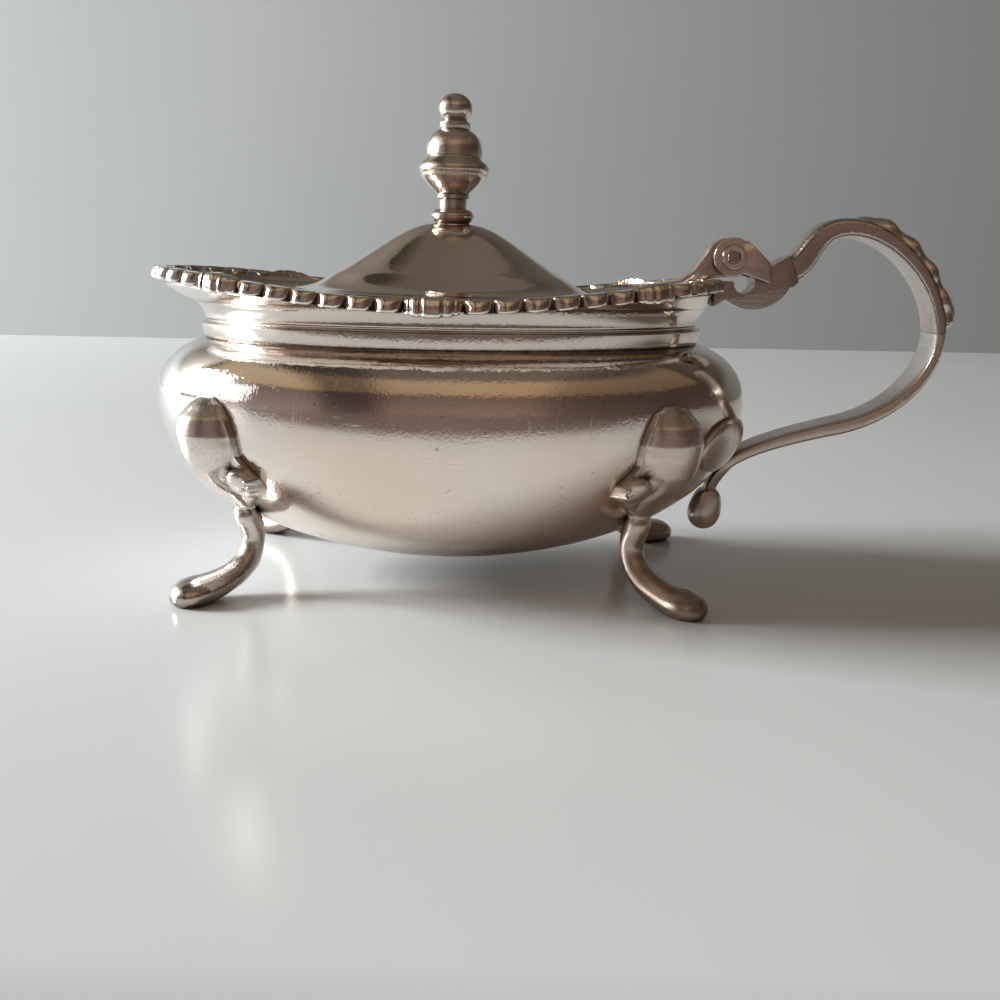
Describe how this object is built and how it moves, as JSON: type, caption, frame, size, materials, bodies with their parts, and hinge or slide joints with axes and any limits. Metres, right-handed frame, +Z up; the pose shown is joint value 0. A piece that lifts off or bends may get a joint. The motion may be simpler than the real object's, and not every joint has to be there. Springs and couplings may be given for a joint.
{
  "type": "mustard pot",
  "caption": "Oval silver mustard pot on cast cabriole legs, with a gadrooned flared rim, a hinged domed cover with a finial, a scroll handle and a lift-out glass liner.",
  "frame": {"origin": "on the table, under the middle of the whole pot's box", "axes": "+X towards the handle along the pot's length, +Y to the back, +Z up"},
  "size_m": [0.1031, 0.053, 0.0618],
  "materials": {
    "polished_silver": "worn bright polish with fine scratches and warm tarnish",
    "cast_silver": "cast and buffed, dark in the hollows",
    "dark_silver": "dull drawn wire",
    "cobalt_glass": "clear deep blue, polished"
  },
  "bodies": {
    "pot": {"bowl": "polished_silver", "rim_mount": "polished_silver", "gadroon_border": "polished_silver", "leaf_front": "polished_silver", "leaf_back": "polished_silver", "leaf_front_left": "polished_silver", "leaf_back_left": "polished_silver", "leaf_front_right": "polished_silver", "leaf_back_right": "polished_silver", "hinge_washers": "polished_silver", "leg_front_left": "cast_silver", "leg_front_right": "cast_silver", "leg_back_left": "cast_silver", "leg_back_right": "cast_silver", "hinge_block": "cast_silver", "cheek_front": "cast_silver", "cheek_back": "cast_silver", "handle_upper": "cast_silver", "handle_leaf": "cast_silver", "handle_lower": "cast_silver", "handle_lobes": "cast_silver", "hinge_pin": "dark_silver", "glass_liner": "cobalt_glass"},
    "lid": {"cover": "polished_silver", "cover_arm": "cast_silver", "finial": "cast_silver", "finial_nut": "dark_silver"}
  },
  "joints": [
    {"name": "lid_hinge", "type": "hinge", "parent": "pot", "child": "lid", "pos_m": [0.02268, 0, 0.0422], "axis": [0, 1, 0], "range_deg": [0, 105]}
  ]
}
